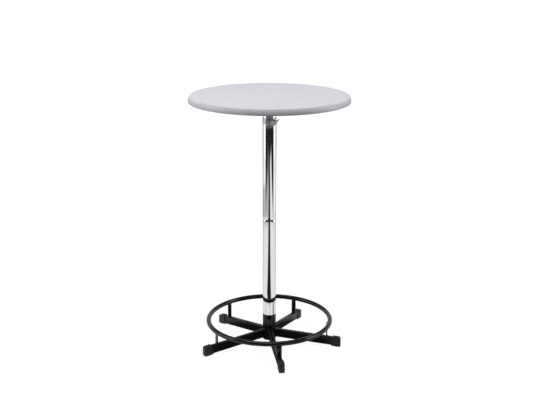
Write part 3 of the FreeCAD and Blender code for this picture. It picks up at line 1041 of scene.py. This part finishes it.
# %% [markdown]
# The base is welded from a hub, five legs, five posts and a ring. The legs are rectangular tube with rounded
# corners. A cube with its long edges bevelled has that section, and a shear gives the slope while the ends
# stay plumb. Everything on a leg is made along +X and turned to the leg's angle.

# %% Hub and legs
hub_low, hub_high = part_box("hub_tube")
hub_radius = hub_high.x
hub_wall = 4 * mm
hub_bore = hub_radius - hub_wall
hub_break = 0.6 * mm
leg_names = ("front", "right", "rear_right", "rear_left", "left")
leg_turn = math.radians(9.6)
leg_width = 20 * mm
leg_height = 38 * mm
leg_corner = 3 * mm
leg_low_at_hub = 31.2 * mm
leg_low_at_end = 2.4 * mm
leg_end = 326.8 * mm
leg_sink = 2.4 * mm
leg_slope = (leg_low_at_hub - leg_low_at_end) / (leg_end - hub_radius)
leg_plumb = leg_height * math.hypot(1, leg_slope)

hub_outline = [
    (hub_bore, hub_low.z), *arc((hub_radius - hub_break, hub_low.z + hub_break), hub_break, -90, 0, 3),
    *arc((hub_radius - hub_break, hub_high.z - hub_break), hub_break, 0, 90, 3), (hub_bore, hub_high.z),
]
piece("base_hub", spun(hub_outline), "black_powder_coat", "base", "hub_tube")


def leg_low(radius):
    """Height of a leg's lower face at a distance from the column's axis."""
    return leg_low_at_hub - leg_slope * (radius - hub_radius)


def block(start, end, width, low, high):
    """Box along X between two distances from the axis."""
    bm = bmesh.new()
    bmesh.ops.create_cube(bm, size=1)
    bmesh.ops.scale(bm, verts=bm.verts, vec=(end - start, width, high - low))
    bmesh.ops.translate(bm, verts=bm.verts, vec=((start + end) / 2, 0, (low + high) / 2))
    return bm


def leg_tube():
    """Rectangular tube from the hub's wall to inside the cap, made level and sheared to the slope."""
    bm = block(hub_radius - leg_sink, leg_end, leg_width, 0, leg_plumb)
    soften(bm, [edge for edge in bm.edges if edge.calc_length() > leg_end / 2], leg_corner, 5)
    shear = Matrix.Identity(4)
    shear[2][0] = -leg_slope
    shear[2][3] = leg_low(0)
    return turned_to(bm, shear)


def on_each_leg(label, make, slot, node=None, **shading):
    """Makes a piece along +X for each leg and turns it to the leg, in place of the leg's own node."""
    for k, name in enumerate(leg_names):
        turn = Matrix.Rotation(leg_turn + 2 * math.pi * k / len(leg_names) - math.pi / 2, 4, "Z")
        nodes = [node + name] if node else []
        piece(label + name, turned_to(make(), turn), slot, "base", *nodes, **shading)


on_each_leg("sloping_leg_", leg_tube, "black_powder_coat", "leg_")

# %% [markdown]
# A foot cap is a moulded box over the leg's end: a sole that rises behind its flat, a sloping top with a
# rounded nose, soft corners and a leaning mouth. The side view is drawn as a face and extruded, the nose and
# the edges are bevelled, and the mouth is inset and pushed in along the leg. The bevels give the inset many
# corners, which are drawn together to the four that the leg's socket has.

# %% Foot caps
foot_reach = 330 * mm
cap_length = 43 * mm
cap_slant = 8 * mm
cap_wall = 2.45 * mm
cap_tread = 16 * mm
cap_heel = 4 * mm
cap_nose = 9 * mm
cap_round = 1.4 * mm
cap_corner = 0.5
cap_mouth = foot_reach - cap_length
mouth_top = cap_mouth + cap_slant
cap_lift = leg_plumb + cap_wall


def cap_shell():
    """Outside of a cap, with its nose and edges rounded."""
    bm = slab(((cap_mouth, cap_heel), (foot_reach - cap_tread, 0), (foot_reach, 0),
               (foot_reach, leg_low(foot_reach) + cap_lift), (mouth_top, leg_low(mouth_top) + cap_lift)),
              leg_width / 2 + cap_wall)
    nose = [edge for edge in bm.edges
            if all(vert.co.x > foot_reach - mm and vert.co.z > cap_nose for vert in edge.verts)]
    soften(bm, nose, cap_nose, 8)
    outside = [edge for edge in bm.edges if any(vert.co.x > mouth_top + mm for vert in edge.verts)
               and len(edge.link_faces) == 2 and edge.calc_face_angle() > cap_corner]
    soften(bm, outside, cap_round, 4)
    return bm


def moulded_cap():
    """Cap with a square socket for the leg sunk into its leaning mouth."""
    bm = cap_shell()
    mouth = min(bm.faces, key=lambda face: face.calc_center_median().x)
    bmesh.ops.inset_individual(bm, faces=[mouth], thickness=cap_wall, use_even_offset=True)
    pushed = bmesh.ops.extrude_discrete_faces(bm, faces=[mouth])["faces"][0]
    floor_corners = pushed.verts[:]
    floor_edges = pushed.edges[:]
    rim = [edge.other_vert(vert) for vert in floor_corners for edge in vert.link_edges
           if edge not in floor_edges]
    lean = cap_slant / (leg_low(mouth_top) + cap_lift - cap_heel)
    for vert in rim + floor_corners:
        above = leg_plumb if vert.co.z > leg_plumb / 2 + leg_low_at_end else 0
        opening = cap_mouth + lean * (leg_low(cap_mouth) + above - cap_heel)
        vert.co.x = leg_end if vert in floor_corners else opening
        vert.co.y = math.copysign(leg_width / 2, vert.co.y)
        vert.co.z = leg_low(vert.co.x) + above
    bmesh.ops.remove_doubles(bm, verts=rim + floor_corners, dist=sliver)
    return bm


on_each_leg("moulded_cap_", moulded_cap, "cap_plastic", "foot_cap_", sharp=40)

# %% [markdown]
# The foot ring is bent from round tube. A circle spun about the column's axis makes it. The posts are flat
# bars with rounded upper corners that carry the ring on their outer faces.

# %% Foot ring and posts
ring_low, ring_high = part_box("foot_ring")
ring_tube = (ring_high.z - ring_low.z) / 2
ring_centre = ring_high.x - ring_tube
ring_height = ring_low.z + ring_tube
post_width = 20 * mm
post_thickness = 5 * mm
post_below_ring = 1 * mm
post_cope = 1 * mm
post_sink = 2.85 * mm
post_corner = 4 * mm
post_edge = 0.5 * mm
square_corner = 1.2
post_top = ring_height - post_below_ring
post_outside = ring_centre - ring_tube + post_cope
post_inside = post_outside - post_thickness

ring = bmesh.new()
bmesh.ops.create_circle(ring, radius=ring_tube, segments=40)
turned_to(ring, Matrix.Translation((ring_centre, 0, ring_height)) @ Matrix.Rotation(math.pi / 2, 4, "X"))
swung(ring, steps=240)
piece("bent_foot_ring", ring, "black_powder_coat", "base", "foot_ring", finish="rubbed_coat")


def post_bar():
    """Flat bar from the leg's upper face to just under the ring's middle."""
    foot = leg_low(post_outside) + leg_plumb - post_sink
    bm = block(post_inside, post_outside, post_width, foot, post_top)
    upper = [edge for edge in bm.edges if all(vert.co.z > post_top - mm for vert in edge.verts)
             and abs(edge.verts[0].co.y - edge.verts[1].co.y) < mm]
    soften(bm, upper, post_corner, 6)
    soften(bm, [edge for edge in bm.edges if edge.calc_face_angle() > square_corner], post_edge, 2)
    return bm


on_each_leg("flat_post_", post_bar, "black_powder_coat", "ring_post_")

# %% [markdown]
# Welds hold the base together, and a coat of powder doesn't hide them. A bead is a thick line along the joint
# whose thickness ripples as the welder's hand moves. A curve with a round bevel and a radius at each point
# gives that, and is then made a mesh.

# %% Weld beads
leg_bead, post_bead, ring_bead = 2.0 * mm, 1.5 * mm, 1.3 * mm
ripple_length = 3.2 * mm
ripple_depth = 0.16
bead_step = 0.8 * mm
bead_inset = 1.5 * mm
ring_touch = (186, 208)


def walked(corners, closed):
    """Points at even small steps along straight runs between corners, with the distance gone."""
    ends = corners[1:] + corners[:1] if closed else corners[1:]
    gone = 0.0
    points = []
    for start, end in zip(corners, ends):
        run = (end - start).length
        steps = max(1, round(run / bead_step))
        points += [(start.lerp(end, k / steps), gone + run * k / steps) for k in range(steps)]
        gone += run
    return points if closed else points + [(corners[-1], gone)]


def bead(corners, radius, closed=False):
    """Rippled weld bead along a run of corners."""
    points = walked(corners, closed)
    curve = bpy.data.curves.new("bead", "CURVE")
    curve.dimensions = "3D"
    curve.bevel_depth = 1.0
    curve.bevel_resolution = 2
    curve.use_fill_caps = True
    line = curve.splines.new("POLY")
    line.points.add(len(points) - 1)
    line.use_cyclic_u = closed
    for point, (place, gone) in zip(line.points, points):
        point.co = (*place, 1)
        point.radius = radius * (1 + ripple_depth * math.sin(2 * math.pi * gone / ripple_length))
    holder = bpy.data.objects.new("bead", curve)
    mesh = bpy.data.meshes.new_from_object(holder)
    bm = bmesh.new()
    bm.from_mesh(mesh)
    bpy.data.objects.remove(holder)
    bpy.data.curves.remove(curve)
    bpy.data.meshes.remove(mesh)
    return bm


def leg_outline():
    """Outline of a leg's end where it meets the hub's round wall."""
    corners = []
    for k, (right, upper) in enumerate(((1, 1), (-1, 1), (-1, -1), (1, -1))):
        middle = (right * (leg_width / 2 - leg_corner), upper * (leg_plumb / 2 - leg_corner))
        for y, z in arc(middle, leg_corner, 90 * k, 90 * k + 90, 4):
            out = math.sqrt(hub_radius ** 2 - y ** 2)
            corners.append(Vector((out, y, leg_low(out) + leg_plumb / 2 + z)))
    return corners


def ring_seat(side):
    """Distance out to the ring's middle line, at a distance to the side of the leg."""
    return math.sqrt(ring_centre ** 2 - side ** 2)


def leg_welds():
    """Beads round a leg's root, where its post stands on it and where the post holds the ring."""
    half = post_width / 2 - bead_inset
    beads = []
    for out in (post_inside, post_outside):
        height = leg_low(out) + leg_plumb
        beads.append(bead([Vector((out, -half, height)), Vector((out, half, height))], post_bead))
    for side in (-post_width / 2, post_width / 2):
        beads.append(bead([Vector((ring_seat(side) + out, side, height))
                           for out, height in arc((0, ring_height), ring_tube, *ring_touch, 4)], ring_bead))
    against = math.sqrt(ring_tube ** 2 - post_below_ring ** 2)
    beads.append(bead([Vector((ring_seat(half * k / 4) - against, half * k / 4, post_top))
                       for k in range(-4, 5)], ring_bead))
    return add(bead(leg_outline(), leg_bead, closed=True), *beads)


on_each_leg("weld_beads_", leg_welds, "black_powder_coat", sharp=60)

# %% [markdown]
# The ring closes in a butt weld, ground almost flush. A slim torus round the tube stands for it. Its place is
# the one that the CAD ring has.

# %% Ring's butt weld
butt_turn = math.radians(117)
butt_radius = 1.1 * mm
butt_sink = 0.6 * mm

butt = bead([Vector((ring_centre + out, 0, height)) for out, height in
             arc((0, ring_height), ring_tube - butt_sink, 0, 360, 48)[:-1]], butt_radius, closed=True)
turned_to(butt, Matrix.Rotation(butt_turn, 4, "Z"))
piece("ring_butt_weld", butt, "black_powder_coat", "base", sharp=60)

# %% [markdown]
# A bolt inside the hub pulls the column down on the base. It shows only from below: a hexagon head with its
# corners turned off, and a plain washer.

# %% Base bolt and washer
bolt_low, bolt_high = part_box("base_bolt")
washer_low, washer_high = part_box("base_washer")
bolt_across = 16 * mm
bolt_radius = 5 * mm
bolt_corner = 0.9 * mm
bolt_chamfer = 1 * mm
shank_inset = 1 * mm
washer_radius = washer_high.x
washer_hole = bolt_radius + 0.5 * mm
washer_break = 0.4 * mm

bolt = bmesh.new()
bmesh.ops.create_circle(bolt, cap_ends=True, radius=bolt_across / math.sqrt(3), segments=6)
bmesh.ops.translate(bolt, verts=bolt.verts, vec=(0, 0, bolt_low.z))
raised(bolt, bolt.faces[:], (0, 0, washer_low.z - bolt_low.z))
soften(bolt, edges_below(bolt, bolt_low.z + level), bolt_corner, 2)
shank_low = bolt_low.z + shank_inset
bolt_shank = spun([(0, shank_low), (bolt_radius, shank_low), (bolt_radius, bolt_high.z - bolt_chamfer),
                   (bolt_radius - bolt_chamfer, bolt_high.z), (0, bolt_high.z)], steps=48)
piece("hexagon_bolt", add(bolt, bolt_shank), "zinc", "base", "base_bolt")

washer = spun([
    (washer_hole, washer_low.z), (washer_radius - washer_break, washer_low.z),
    (washer_radius, washer_low.z + washer_break), (washer_radius, washer_high.z),
    (washer_hole, washer_high.z),
], steps=64)
piece("plain_washer", washer, "zinc", "base", "base_washer")

# %% [markdown]
# The pieces left over are sealed inside or show only as a plain face, so their CAD shapes stay, with the
# finish of their slot.

# %% Finishes for the CAD nodes that stay
slots = {part["node"]: part["material_slot"] for part in frame["record"]["subparts"]}
kept = {name: node for name, node in frame["nodes"].items() if not node.hide_render}
for name, node in kept.items():
    node.data.materials.clear()
    node.data.materials.append(finishes[slots[name]])
print("CAD nodes that stay", sorted(kept))

# %% [markdown]
